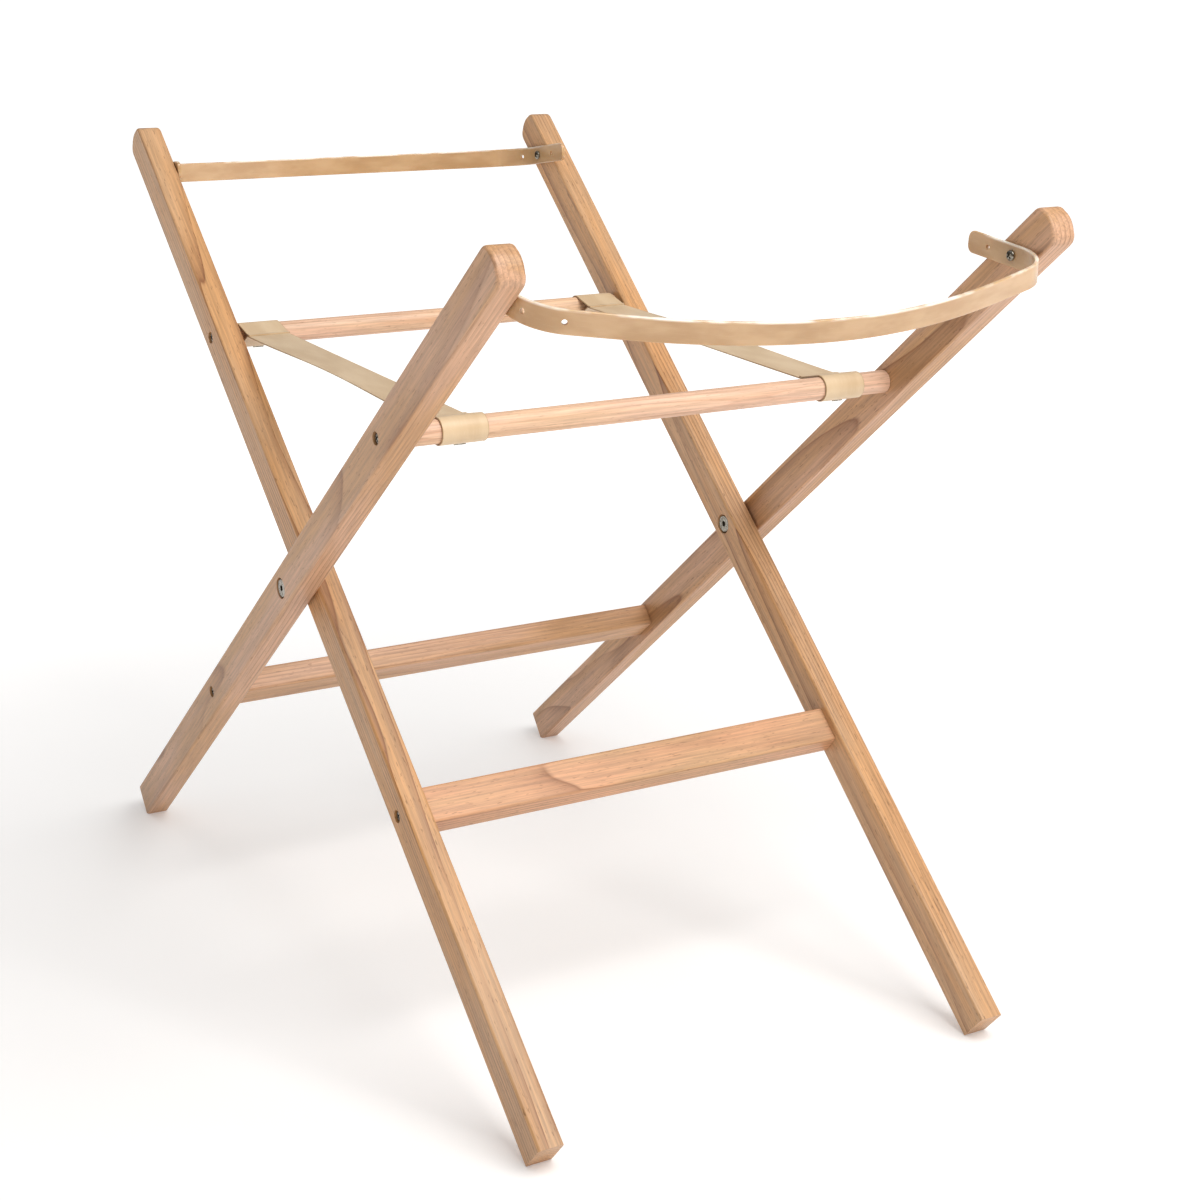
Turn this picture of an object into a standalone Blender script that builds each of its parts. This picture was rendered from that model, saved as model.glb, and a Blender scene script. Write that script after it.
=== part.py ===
"""Folding wooden X-frame stand: two pairs of crossed legs that turn on furniture bolts.

The inner frame runs from its feet at the front to its tops at the back, the outer frame the other way.
Each frame has a round dowel above the pivot and a flat stretcher below it. Two webbing straps join the
dowels and stop the stand opening further. A perforated plastic strap bows between each pair of leg tops.

Metres, +Z up, +X to the right, the front of the stand towards -Y. The origin is on the floor, straight
below the pivot axis, midway between the two pairs of legs.
"""

import math

import bmesh
import bpy
from mathutils import Matrix, Vector

# ---- driving dimensions -------------------------------------------------------------------------
GAP = 0.0003  # air between pieces that touch

LEG_THICK = 0.022  # across the stand
LEG_WIDTH = 0.033  # seen from the side
LEG_LENGTH = 1.045
EDGE_RADIUS = 0.0025  # the rounding of every long edge
TOP_RADIUS = 0.009  # the rounding of a leg's two top corners
TOP_CROWN = 0.002  # how far a leg's top end bulges
TOP_TILT = 10  # degrees by which the bulge slopes where it meets a corner
INNER_PIVOT = 0.525  # foot to pivot along an inner leg
OUTER_PIVOT = 0.535  # foot to pivot along an outer leg
INNER_LEAN = math.radians(49.5)  # an inner leg's lean from the vertical
INNER_HALF = 0.220  # mid-plane to the outer face of an inner leg
FOOT_TRIM = 0.0015  # height taken off each foot's lowest edge, for a flat to stand on

DOWEL_RADIUS = 0.0095
DOWEL_FROM_TOP = 0.247
STRETCHER_FROM_FOOT = 0.298
CROSS_PIECE_SETBACK = 0.002  # dowels and stretchers sit this far behind a leg's centre line

BOLT_RECESS_RADIUS = 0.0091
BOLT_RECESS_DEPTH = 0.0036
BOLT_HEAD_RADIUS = 0.0080
BOLT_HEAD_THICK = 0.0025
BOLT_SHANK_RADIUS = 0.003
SLEEVE_RADIUS = 0.0045
SLEEVE_TO_BOLT_SEAT = 0.0045  # the sleeve stops this far short of the bolt head's seat
SLEEVE_END_WALL = 0.0033  # solid metal between the nut's seat and its bore
SHANK_SHORT_OF_BORE = 0.002
BORE_CLEARANCE = 0.0003
HEX_SOCKET_RADIUS = 0.0029
HEX_SOCKET_DEPTH = 0.0025
WASHER_RADIUS = 0.010
WASHER_THICK = 0.0018

SCREW_SHANK_RADIUS = 0.002
SCREW_HOLE_RADIUS = 0.0023
SCREW_LENGTH = 0.048
SCREW_TIP = 0.005
SCREW_HEAD_RADIUS = 0.0049
SCREW_HEAD_THICK = 0.0022
SCREW_RECESS_RADIUS = 0.0054
SCREW_RECESS_DEPTH = 0.0034
CROSS_SLOT = 0.0013  # width of a cross recess's arms
CROSS_REACH = 0.0029
CROSS_DEPTH = 0.0013

END_STRAP_WIDTH = 0.0175
END_STRAP_THICK = 0.003
END_STRAP_FROM_TOP = 0.048  # leg top to the strap's screw
END_STRAP_TAILS = {"left": 0.023, "right": 0.052}  # free ends behind the screws
END_STRAP_LEAD = 0.010  # straight run past the screw before the bend
END_STRAP_BEND_RADIUS = 0.042
END_STRAP_BEND = math.radians(67)  # turn taken in the tight bend; the shallow bow takes the rest
FRONT_STRAP_DIP = math.radians(5.5)  # how far a strap points down as it leaves the legs
REAR_STRAP_DIP = math.radians(9)
FRONT_STRAP_SAG = math.radians(11.7)  # how much steeper its bow dips at the middle
REAR_STRAP_SAG = math.radians(-1.6)
FRONT_SAG_POWERS = {"left": 0.65, "right": 1.4}  # below 1 the sag starts near the leg, above 1 further on
REAR_SAG_POWERS = {"left": 1, "right": 1}
END_STRAP_CORNER = 0.0055
END_HOLE_PITCH = 0.0284
FRONT_HOLES = {"left": (0, 1, 2), "right": (-1, 0)}  # in pitches from the screw's hole towards the bow
REAR_HOLES = {"left": (0, 1), "right": (-1, 0, 1)}
END_HOLE_RADIUS = 0.0021
END_SCREW_HOLE_RADIUS = 0.0024
END_SCREW_LENGTH = 0.017
END_SCREW_HEAD_RADIUS = 0.0042
END_SCREW_HEAD_THICK = 0.0024

SIDE_STRAP_WIDTH = 0.039
SIDE_STRAP_THICK = 0.0012
SIDE_STRAP_OFFSET = 0.175  # mid-plane to the strap's centre
LOOP_POINT = 0.024  # dowel centre to where the loop's two layers meet
LOOP_TAIL = 0.0285  # dowel centre to the strap's cut end
LOOP_TILT = math.radians(9.5)  # how far a loop's point is turned up from the line between the dowels

STAPLE_WIDTH = 0.010
STAPLE_WIRE = 0.0009
STAPLE_LEG = 0.008

ARC_STEPS = 5  # segments in a quarter of a small rounding
ROUND_STEPS = 32  # segments in a full turn of a large round piece
LOOP_STEPS = 18  # segments in the round of a strap's loop
FINE_STEPS = 20  # segments in a full turn of a screw or a small hole
BEND_STEPS = 12  # segments in the tight bend of an end strap
BOW_STEPS = 10  # segments in half of its shallow bow
CROWN_PLACES = (-2 / 3, -1 / 3, 0, 1 / 3, 2 / 3)  # points of a leg's crowned top, in half widths
DOME_ANGLES = (0.0, 0.4, 0.8, 1.2)  # radians up a domed head's side
DOME_RIM = 0.35  # the part of a domed head's height that its straight rim takes
THROUGH = 0.002  # how far a cutter runs past the face it opens

# ---- sizes that follow --------------------------------------------------------------------------
HALF_WIDTH = LEG_WIDTH / 2
INNER_FACE = INNER_HALF - LEG_THICK  # mid-plane to an inner leg's inner face
OUTER_FACE = INNER_HALF + WASHER_THICK + 2 * GAP  # mid-plane to an outer leg's inner face
OUTER_HALF = OUTER_FACE + LEG_THICK
CORNER_HEIGHT = INNER_PIVOT * math.cos(INNER_LEAN) + HALF_WIDTH * math.sin(INNER_LEAN)
PIVOT_HEIGHT = CORNER_HEIGHT - FOOT_TRIM
OUTER_REACH = math.hypot(OUTER_PIVOT, HALF_WIDTH)  # pivot to an outer foot's lowest corner
OUTER_LEAN = math.atan2(HALF_WIDTH, OUTER_PIVOT) + math.acos(CORNER_HEIGHT / OUTER_REACH)
PIVOT = Vector((0, 0, PIVOT_HEIGHT))
ACROSS = Vector((1, 0, 0))
SIDES = {"left": -1, "right": 1}


def placement(origin, x, y, z):
    """The matrix that puts local axes x, y and z at an origin."""
    return Matrix.Translation(origin) @ Matrix((x, y, z)).transposed().to_4x4()


class Frame:
    """One of the two frames. Its own axes: x up the legs, y towards their front edge, z to the right."""

    def __init__(self, name, lean, pivot_from_foot, inner_face, back):
        self.name = name
        self.foot = -pivot_from_foot
        self.top = LEG_LENGTH - pivot_from_foot
        self.inner_face = inner_face
        self.back = back
        self.up = Vector((0, back * math.sin(lean), math.cos(lean)))
        self.front = Vector((0, -math.cos(lean), back * math.sin(lean)))
        self.dowel = self.top - DOWEL_FROM_TOP
        self.stretcher = self.foot + STRETCHER_FROM_FOOT
        self.strap = self.top - END_STRAP_FROM_TOP
        self.matrix = placement(PIVOT, self.up, self.front, ACROSS)

    def place(self, along, across=0.0):
        """A point in the stand's mid-plane from its distances along and across a leg."""
        return PIVOT + self.up * along + self.front * across


INNER = Frame("inner_frame", INNER_LEAN, INNER_PIVOT, INNER_FACE, back=1)
OUTER = Frame("outer_frame", OUTER_LEAN, OUTER_PIVOT, OUTER_FACE, back=-1)


# ---- scene and materials ------------------------------------------------------------------------
def clear_scene():
    for obj in list(bpy.data.objects):
        bpy.data.objects.remove(obj, do_unlink=True)


def new_collection(name):
    collection = bpy.data.collections.new(name)
    bpy.context.scene.collection.children.link(collection)
    return collection


def new_material(name, colour, roughness, metallic=0.0):
    material = bpy.data.materials.new(name)
    material.use_nodes = True
    shader = material.node_tree.nodes["Principled BSDF"]
    shader.inputs["Base Color"].default_value = (*colour, 1.0)
    shader.inputs["Roughness"].default_value = roughness
    shader.inputs["Metallic"].default_value = metallic
    material.diffuse_color = (*colour, 1.0)
    return material


clear_scene()
PARTS = new_collection("folding_x_frame_stand")
CUTTERS = new_collection("cutters")
CUTTERS.hide_render = True
LEG_WOOD = new_material("leg_wood", (0.62, 0.40, 0.22), 0.55)
RAIL_WOOD = new_material("rail_wood", (0.72, 0.48, 0.34), 0.55)
STRAP_PLASTIC = new_material("strap_plastic", (0.66, 0.50, 0.32), 0.35)
STRAP_WEBBING = new_material("strap_webbing", (0.62, 0.52, 0.36), 0.7)
ZINC_STEEL = new_material("zinc_steel", (0.62, 0.62, 0.60), 0.3, 1.0)


# ---- mesh helpers -------------------------------------------------------------------------------
def mesh_from(bm, name):
    """Turns a bmesh into a mesh with its faces pointing out."""
    bmesh.ops.recalc_face_normals(bm, faces=bm.faces)
    mesh = bpy.data.meshes.new(name)
    bm.to_mesh(mesh)
    bm.free()
    return mesh


def add_part(name, mesh, material, parent=None, matrix=None):
    part = bpy.data.objects.new(name, mesh)
    PARTS.objects.link(part)
    mesh.materials.append(material)
    mesh.shade_smooth()
    mesh.set_sharp_from_angle(angle=math.radians(35))
    part.parent = parent
    if matrix is not None:
        part.matrix_local = matrix
    return part


def turned(name, profile, steps):
    """A solid turned about local Z from (radius, height) points that start and end on the axis."""
    bm = bmesh.new()
    verts = [bm.verts.new((radius, 0, height)) for radius, height in profile]
    edges = [bm.edges.new(pair) for pair in zip(verts, verts[1:])]
    turn = 2 * math.pi
    bmesh.ops.spin(bm, geom=verts + edges, axis=(0, 0, 1), cent=(0, 0, 0), angle=turn, steps=steps)
    bmesh.ops.remove_doubles(bm, verts=bm.verts, dist=1e-6)
    return mesh_from(bm, name)


def box(name, size, centre=(0, 0, 0)):
    bm = bmesh.new()
    bmesh.ops.create_cube(bm, size=1, matrix=Matrix.Translation(centre) @ Matrix.Diagonal((*size, 1)))
    return mesh_from(bm, name)


def hexagon(name, radius, depth):
    """A six-sided prism centred on the origin along local Z."""
    bm = bmesh.new()
    bmesh.ops.create_cone(bm, cap_ends=True, segments=6, radius1=radius, radius2=radius, depth=depth)
    return mesh_from(bm, name)


def extruded(name, outlines, thickness, rounding=0.0):
    """A plate of the given closed outlines, its middle on local z = 0; later outlines are its holes."""
    curve = bpy.data.curves.new(name, "CURVE")
    curve.dimensions = "2D"
    curve.fill_mode = "BOTH"
    curve.extrude = thickness / 2 - rounding
    curve.bevel_depth = rounding
    curve.bevel_resolution = 3
    curve.offset = -rounding
    for outline in outlines:
        spline = curve.splines.new("POLY")
        spline.points.add(len(outline) - 1)
        for point, (x, y) in zip(spline.points, outline):
            point.co = (x, y, 0, 1)
        spline.use_cyclic_u = True
    plate = bpy.data.objects.new(name, curve)
    bpy.context.scene.collection.objects.link(plate)
    evaluated = plate.evaluated_get(bpy.context.evaluated_depsgraph_get())
    mesh = bpy.data.meshes.new_from_object(evaluated)
    bpy.data.objects.remove(plate, do_unlink=True)
    bpy.data.curves.remove(curve)
    bm = bmesh.new()
    bm.from_mesh(mesh)
    bpy.data.meshes.remove(mesh)
    bmesh.ops.remove_doubles(bm, verts=bm.verts, dist=1e-6)
    return mesh_from(bm, name)


def trimmed(mesh, point, normal):
    """Cuts the mesh by a plane, drops what lies beyond it and closes the cut."""
    bm = bmesh.new()
    bm.from_mesh(mesh)
    geometry = bm.verts[:] + bm.edges[:] + bm.faces[:]
    bmesh.ops.bisect_plane(
        bm, geom=geometry, dist=1e-7, plane_co=point, plane_no=normal, clear_outer=True)
    rim = [edge for edge in bm.edges if edge.is_boundary]
    bmesh.ops.holes_fill(bm, edges=rim, sides=0)
    name = mesh.name
    bpy.data.meshes.remove(mesh)
    return mesh_from(bm, name)


def cut(part, mesh, matrix):
    """Subtracts a mesh from a part; the matrix places it in the part's own frame."""
    cutter = bpy.data.objects.new(mesh.name, mesh)
    CUTTERS.objects.link(cutter)
    cutter.parent = part
    cutter.matrix_local = matrix
    cutter.hide_render = True
    cutter.display_type = "WIRE"
    boolean = part.modifiers.new(mesh.name, "BOOLEAN")
    boolean.operation = "DIFFERENCE"
    boolean.solver = "EXACT"
    boolean.object = cutter


def arc(centre, radius, start, end, steps=ARC_STEPS):
    """Points along an arc, both ends included, for angles in degrees."""
    angles = [math.radians(start + (end - start) * i / steps) for i in range(steps + 1)]
    return [(centre[0] + radius * math.cos(a), centre[1] + radius * math.sin(a)) for a in angles]


def at(x, y, z, facing=1):
    """A placement at a point, with local Z along +z, or along -z where facing is -1."""
    turn = Matrix.Identity(4) if facing > 0 else Matrix.Rotation(math.pi, 4, "X")
    return Matrix.Translation((x, y, z)) @ turn


# ---- wooden pieces ------------------------------------------------------------------------------
def leg_outline(frame):
    """A leg seen from the side: square at the foot, where it is cut later, and rounded at the top."""
    corner = frame.top - TOP_CROWN - TOP_RADIUS
    side = HALF_WIDTH - TOP_RADIUS
    crown_half = side + TOP_RADIUS * math.sin(math.radians(TOP_TILT))
    crown = [(frame.top - TOP_CROWN * i**2, crown_half * i) for i in CROWN_PLACES]
    overlong = frame.foot - 2 * THROUGH
    outline = [(overlong, -HALF_WIDTH)]
    outline += arc((corner, -side), TOP_RADIUS, -90, -TOP_TILT)
    outline += crown
    outline += arc((corner, side), TOP_RADIUS, TOP_TILT, 90)
    outline += [(overlong, HALF_WIDTH)]
    return outline


def pivot_hole(through_depth):
    """A recess for the bolt's head, opening at z = 0, and the hole below it."""
    hole = SLEEVE_RADIUS + BORE_CLEARANCE
    seat = -BOLT_RECESS_DEPTH
    rim = BOLT_RECESS_RADIUS
    profile = [(0, -through_depth - THROUGH), (hole, -through_depth - THROUGH), (hole, seat)]
    profile += [(rim, seat), (rim, THROUGH), (0, THROUGH)]
    return turned("pivot_hole", profile, ROUND_STEPS)


def screw_hole(through_depth):
    """A counterbore for a screw's head, opening at z = 0, and the hole below it."""
    hole = SCREW_HOLE_RADIUS
    seat = -SCREW_RECESS_DEPTH
    rim = SCREW_RECESS_RADIUS
    profile = [(0, -through_depth - THROUGH), (hole, -through_depth - THROUGH), (hole, seat)]
    profile += [(rim, seat), (rim, THROUGH), (0, THROUGH)]
    return turned("screw_hole", profile, FINE_STEPS)


def pilot_hole(depth):
    """A plain hole that opens at z = 0 and runs down local Z."""
    hole = SCREW_HOLE_RADIUS
    profile = [(0, -depth), (hole, -depth), (hole, THROUGH), (0, THROUGH)]
    return turned("pilot_hole", profile, FINE_STEPS)


def leg(frame, side, empty):
    sign = SIDES[side]
    name = f"{frame.name.split('_')[0]}_leg_{side}"
    mesh = extruded(name, [leg_outline(frame)], LEG_THICK, EDGE_RADIUS)
    mesh = trimmed(mesh, (frame.foot, 0, 0), (-1, 0, 0))
    floor_normal = Vector((-frame.up.z, -frame.front.z, 0))
    floor_point = floor_normal * PIVOT_HEIGHT
    mesh = trimmed(mesh, floor_point, floor_normal)
    middle = frame.inner_face + LEG_THICK / 2
    part = add_part(name, mesh, LEG_WOOD, empty, at(0, 0, sign * middle))
    outer = sign * LEG_THICK / 2
    pivot_face = -outer if frame is INNER else outer
    cut(part, pivot_hole(LEG_THICK), at(0, 0, pivot_face, facing=math.copysign(1, pivot_face)))
    for along in (frame.dowel, frame.stretcher):
        cut(part, screw_hole(LEG_THICK), at(along, -CROSS_PIECE_SETBACK, outer, facing=sign))
    cut(part, pilot_hole(END_SCREW_LENGTH), at(frame.strap, 0, -outer, facing=-sign))
    return part


def cross_piece(name, mesh, frame, along, empty):
    """A dowel or stretcher between a frame's two legs, with a pilot hole in each end."""
    part = add_part(name, mesh, RAIL_WOOD, empty, at(along, -CROSS_PIECE_SETBACK, 0))
    half = frame.inner_face - GAP
    depth = SCREW_LENGTH - LEG_THICK
    for sign in SIDES.values():
        cut(part, pilot_hole(depth), at(0, 0, sign * half, facing=sign))
    return part


def dowel(name, frame, empty):
    half = frame.inner_face - GAP
    profile = [(0, -half), (DOWEL_RADIUS, -half), (DOWEL_RADIUS, half), (0, half)]
    return cross_piece(name, turned(name, profile, ROUND_STEPS), frame, frame.dowel, empty)


def stretcher(name, frame, empty):
    """The same stock as a leg, its wide side up the leg, its narrow side across it."""
    x = HALF_WIDTH - EDGE_RADIUS
    y = LEG_THICK / 2 - EDGE_RADIUS
    outline = []
    for centre, start in (((x, y), 0), ((-x, y), 90), ((-x, -y), 180), ((x, -y), 270)):
        outline += arc(centre, EDGE_RADIUS, start, start + 90)
    mesh = extruded(name, [outline], 2 * (frame.inner_face - GAP))
    return cross_piece(name, mesh, frame, frame.stretcher, empty)


# ---- fasteners ----------------------------------------------------------------------------------
def pivot_nut(name):
    """A sleeve with a flat hex-socket head. The head's underside is at z = 0, the sleeve points down."""
    length = 2 * LEG_THICK + WASHER_THICK + 2 * GAP - 2 * BOLT_RECESS_DEPTH - SLEEVE_TO_BOLT_SEAT
    bore = BOLT_SHANK_RADIUS + BORE_CLEARANCE
    profile = [(0, -SLEEVE_END_WALL), (bore, -SLEEVE_END_WALL), (bore, -length), (SLEEVE_RADIUS, -length)]
    profile += head_profile(SLEEVE_RADIUS, BOLT_HEAD_RADIUS, BOLT_HEAD_THICK)
    return turned(name, profile, ROUND_STEPS)


def pivot_bolt(name):
    """A shank with a flat hex-socket head. Its head's underside is at z = 0 and its shank points down."""
    stack = 2 * LEG_THICK + WASHER_THICK + 2 * GAP - 2 * BOLT_RECESS_DEPTH
    length = stack - SLEEVE_END_WALL - SHANK_SHORT_OF_BORE
    profile = [(0, -length), (BOLT_SHANK_RADIUS, -length)]
    profile += head_profile(BOLT_SHANK_RADIUS, BOLT_HEAD_RADIUS, BOLT_HEAD_THICK)
    return turned(name, profile, ROUND_STEPS)


def head_profile(shank, radius, thick):
    """A flat head with a chamfered rim, from its underside at z = 0 up to the axis."""
    chamfer = thick / 4
    return [(shank, 0), (radius, 0), (radius, thick - chamfer), (radius - chamfer, thick), (0, thick)]


def dome_profile(shank, radius, thick):
    """A low domed head, from its underside at z = 0 up to the axis."""
    rim, dome = thick * DOME_RIM, thick * (1 - DOME_RIM)
    rise = [(radius * math.cos(a), rim + dome * math.sin(a)) for a in DOME_ANGLES]
    return [(shank, 0), (radius, 0), *rise, (0, thick)]


def wood_screw(name, length, head):
    """A pointed screw along local Z, point down, with its head's underside at z = 0."""
    shank = SCREW_SHANK_RADIUS
    return turned(name, [(0, -length), (shank, SCREW_TIP - length), *head], FINE_STEPS)


def washer(name):
    bore = SLEEVE_RADIUS + BORE_CLEARANCE
    last = 360 - 360 / ROUND_STEPS
    outlines = [arc((0, 0), radius, 0, last, ROUND_STEPS - 1) for radius in (WASHER_RADIUS, bore)]
    return extruded(name, outlines, WASHER_THICK)


def cross_recess(part, height):
    """Cuts a cross into the head of a screw, whose top is at the given height."""
    arm = box("cross_arm", (2 * CROSS_REACH, CROSS_SLOT, 2 * CROSS_DEPTH))
    for quarter in (0, 1):
        turn = Matrix.Rotation(quarter * math.pi / 2, 4, "Z")
        cut(part, arm, Matrix.Translation((0, 0, height)) @ turn)


def hex_socket(part):
    socket = hexagon("hex_socket", HEX_SOCKET_RADIUS, 2 * HEX_SOCKET_DEPTH)
    cut(part, socket, Matrix.Translation((0, 0, BOLT_HEAD_THICK)))


def pivot_hardware(side, empty):
    """Bolt, sleeve nut and washer of one pivot. The nut's head is on the inner leg's inner face."""
    sign = SIDES[side]
    nut_seat = INNER_FACE + BOLT_RECESS_DEPTH - GAP
    bolt_seat = OUTER_HALF - BOLT_RECESS_DEPTH + GAP
    nut_name, bolt_name, washer_name = (f"pivot_{kind}_{side}" for kind in ("nut", "bolt", "washer"))
    nut_place = at(0, 0, sign * nut_seat, facing=-sign)
    bolt_place = at(0, 0, sign * bolt_seat, facing=sign)
    hex_socket(add_part(nut_name, pivot_nut(nut_name), ZINC_STEEL, empty, nut_place))
    hex_socket(add_part(bolt_name, pivot_bolt(bolt_name), ZINC_STEEL, empty, bolt_place))
    washer_place = at(0, 0, sign * (INNER_HALF + GAP + WASHER_THICK / 2))
    add_part(washer_name, washer(washer_name), ZINC_STEEL, empty, washer_place)


def frame_screw(name, frame, along, side, empty):
    sign = SIDES[side]
    seat = frame.inner_face + LEG_THICK - SCREW_RECESS_DEPTH + GAP
    head = dome_profile(SCREW_SHANK_RADIUS, SCREW_HEAD_RADIUS, SCREW_HEAD_THICK)
    length = SCREW_LENGTH - SCREW_RECESS_DEPTH - GAP
    place = at(along, -CROSS_PIECE_SETBACK, sign * seat, facing=sign)
    screw = add_part(name, wood_screw(name, length, head), ZINC_STEEL, empty, place)
    cross_recess(screw, SCREW_HEAD_THICK)


def strap_screw(name, frame, side, empty):
    sign = SIDES[side]
    seat = frame.inner_face - END_STRAP_THICK - 2 * GAP
    head = dome_profile(SCREW_SHANK_RADIUS, END_SCREW_HEAD_RADIUS, END_SCREW_HEAD_THICK)
    place = at(frame.strap, 0, sign * seat, facing=-sign)
    screw = add_part(name, wood_screw(name, END_SCREW_LENGTH, head), ZINC_STEEL, empty, place)
    cross_recess(screw, END_SCREW_HEAD_THICK)


# ---- end straps ---------------------------------------------------------------------------------
def end_strap_stations(half_span, tail):
    """(x, y, normal angle) along one half of the bow: x from the mid-plane, y away from the screw."""
    bend = math.degrees(END_STRAP_BEND)
    bend_centre = half_span - END_STRAP_BEND_RADIUS
    bow_start_x = bend_centre + END_STRAP_BEND_RADIUS * math.cos(END_STRAP_BEND)
    bow_start_y = END_STRAP_LEAD + END_STRAP_BEND_RADIUS * math.sin(END_STRAP_BEND)
    bow_radius = bow_start_x / math.cos(END_STRAP_BEND)
    bow_centre = bow_start_y - bow_radius * math.sin(END_STRAP_BEND)
    stations = [(half_span, -tail, 0.0), (half_span, 0.0, 0.0)]
    for i in range(BEND_STEPS + 1):
        turn = math.radians(bend * i / BEND_STEPS)
        x = bend_centre + END_STRAP_BEND_RADIUS * math.cos(turn)
        stations.append((x, END_STRAP_LEAD + END_STRAP_BEND_RADIUS * math.sin(turn), turn))
    for i in range(1, BOW_STEPS + 1):
        turn = END_STRAP_BEND + (math.pi / 2 - END_STRAP_BEND) * i / BOW_STEPS
        stations.append((bow_radius * math.cos(turn), bow_centre + bow_radius * math.sin(turn), turn))
    return stations


def point_along(stations, distance):
    """The place and normal angle at a distance from the screw, measured along the strap."""
    run = stations[1:]
    if distance <= 0:
        return stations[1][0], distance, 0.0
    for (x0, y0, turn0), (x1, y1, turn1) in zip(run, run[1:]):
        step = math.hypot(x1 - x0, y1 - y0)
        if distance <= step:
            part = distance / step
            return x0 + (x1 - x0) * part, y0 + (y1 - y0) * part, turn0 + (turn1 - turn0) * part
        distance -= step
    return stations[-1]


def end_strap_outline(half_span, tails):
    """The strap's edge, for the lengths of the free ends at +x and at -x."""
    first, last = (end_strap_stations(half_span, tail) for tail in tails)
    half = END_STRAP_THICK / 2
    path = first + [(-x, y, math.pi - turn) for x, y, turn in last[-2::-1]]
    outer = [(x + half * math.cos(turn), y + half * math.sin(turn)) for x, y, turn in path]
    inner = [(x - half * math.cos(turn), y - half * math.sin(turn)) for x, y, turn in path]
    return outer + inner[::-1]


def round_tail_corners(mesh):
    """Rounds the corners of both free ends, whose short edges run through the strap's thickness."""
    bm = bmesh.new()
    bm.from_mesh(mesh)
    tails = END_STRAP_TAILS.values()
    edges = []
    for edge in bm.edges:
        a, b = (vert.co for vert in edge.verts)
        at_end = any(abs(a.y + tail) < 1e-6 and abs(b.y + tail) < 1e-6 for tail in tails)
        if at_end and abs(a.x - b.x) > END_STRAP_THICK / 2:
            edges.append(edge)
    bmesh.ops.bevel(bm, geom=edges, offset=END_STRAP_CORNER, segments=4, profile=0.5, affect="EDGES")
    name = mesh.name
    bpy.data.meshes.remove(mesh)
    return mesh_from(bm, name)


class Bow:
    """How an end strap hangs: its dip at the legs, its sag at the middle and the distance to there."""

    def __init__(self, frame, dip, sag, powers, holes):
        self.half_span = frame.inner_face - GAP - END_STRAP_THICK / 2
        self.back = frame.back
        self.dip = dip
        self.sag = sag
        self.powers = powers
        self.holes = holes
        self.reach = end_strap_stations(self.half_span, 0)[-1][1]

    def turn(self, x, y):
        """The turn about local X that lets the bow sag, growing with the distance y past the screws."""
        power = self.powers["right" if x * self.back > 0 else "left"]
        return Matrix.Rotation(-self.sag * (max(y, 0.0) / self.reach) ** power, 4, "X")


def strap_hole(for_screw):
    """A round punch centred on the origin along local Z."""
    radius = END_SCREW_HOLE_RADIUS if for_screw else END_HOLE_RADIUS
    end = END_STRAP_THICK
    return turned("strap_hole", [(0, -end), (radius, -end), (radius, end), (0, end)], FINE_STEPS)


def end_strap(name, frame, bow, empty):
    """A perforated strap that bows from leg to leg, in a frame with y along its free ends and z up."""
    tails = [END_STRAP_TAILS[side] for side in ("right", "left")][:: frame.back]
    mesh = extruded(name, [end_strap_outline(bow.half_span, tails)], END_STRAP_WIDTH)
    mesh = round_tail_corners(mesh)
    for vert in mesh.vertices:
        vert.co = bow.turn(vert.co.x, vert.co.y) @ vert.co
    out = Vector((0, frame.back * math.cos(bow.dip), -math.sin(bow.dip)))
    across = ACROSS * frame.back
    world = placement(frame.place(frame.strap), across, out, across.cross(out))
    part = add_part(name, mesh, STRAP_PLASTIC, empty, frame.matrix.inverted() @ world)
    stations = end_strap_stations(bow.half_span, 0)
    for side, number in [(side, number) for side in SIDES for number in bow.holes[side]]:
        x, y, turn = point_along(stations, number * END_HOLE_PITCH)
        sign = SIDES[side] * frame.back
        towards = Vector((sign * math.cos(turn), math.sin(turn), 0)).to_track_quat("Z", "Y")
        place = Matrix.Translation((sign * x, y, 0)) @ towards.to_matrix().to_4x4()
        cut(part, strap_hole(number == 0), bow.turn(sign * x, y) @ place)


# ---- side straps and staples --------------------------------------------------------------------
def side_strap_outlines(half_span):
    """A strap seen from the side, from the rear dowel at -x to the front dowel at +x, looped about each.

    It passes under both dowels. Each end comes back over its dowel and lies on top of the strap.
    """
    layer = SIDE_STRAP_THICK
    inner = DOWEL_RADIUS + GAP
    slope = math.asin(inner / LOOP_POINT)
    meet = (half_span - LOOP_POINT * math.cos(LOOP_TILT), LOOP_POINT * math.sin(LOOP_TILT))
    under = (meet[0] - layer * math.tan((slope + LOOP_TILT) / 2), meet[1] - layer)
    over = (meet[0] - layer * math.tan((slope - LOOP_TILT) / 2), meet[1] + layer)
    seam = half_span - LOOP_TAIL
    tilt, free = math.degrees(LOOP_TILT), 90 + math.degrees(slope)
    outside = arc((half_span, 0), inner + layer, -tilt - free, -tilt + free, LOOP_STEPS)
    inside = arc((half_span, 0), inner, -tilt - free, -tilt + free, LOOP_STEPS)
    half_outline = [under, *outside, over, (seam, over[1]), (seam, meet[1])]
    hole = [*inside, meet]
    return [half_outline + mirrored(half_outline), hole, mirrored(hole)]


def mirrored(points):
    return [(-x, y) for x, y in reversed(points)]


def staple(name):
    """A wire staple with its crown along local x, outside face at z = 0, and its legs pointing up."""
    half = STAPLE_WIDTH / 2
    inside = half - STAPLE_WIRE
    top = STAPLE_WIRE + STAPLE_LEG
    outline = [(-half, 0), (half, 0), (half, top), (inside, top), (inside, STAPLE_WIRE)]
    outline += [(-inside, STAPLE_WIRE), (-inside, top), (-half, top)]
    return extruded(name, [outline], STAPLE_WIRE)


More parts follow.
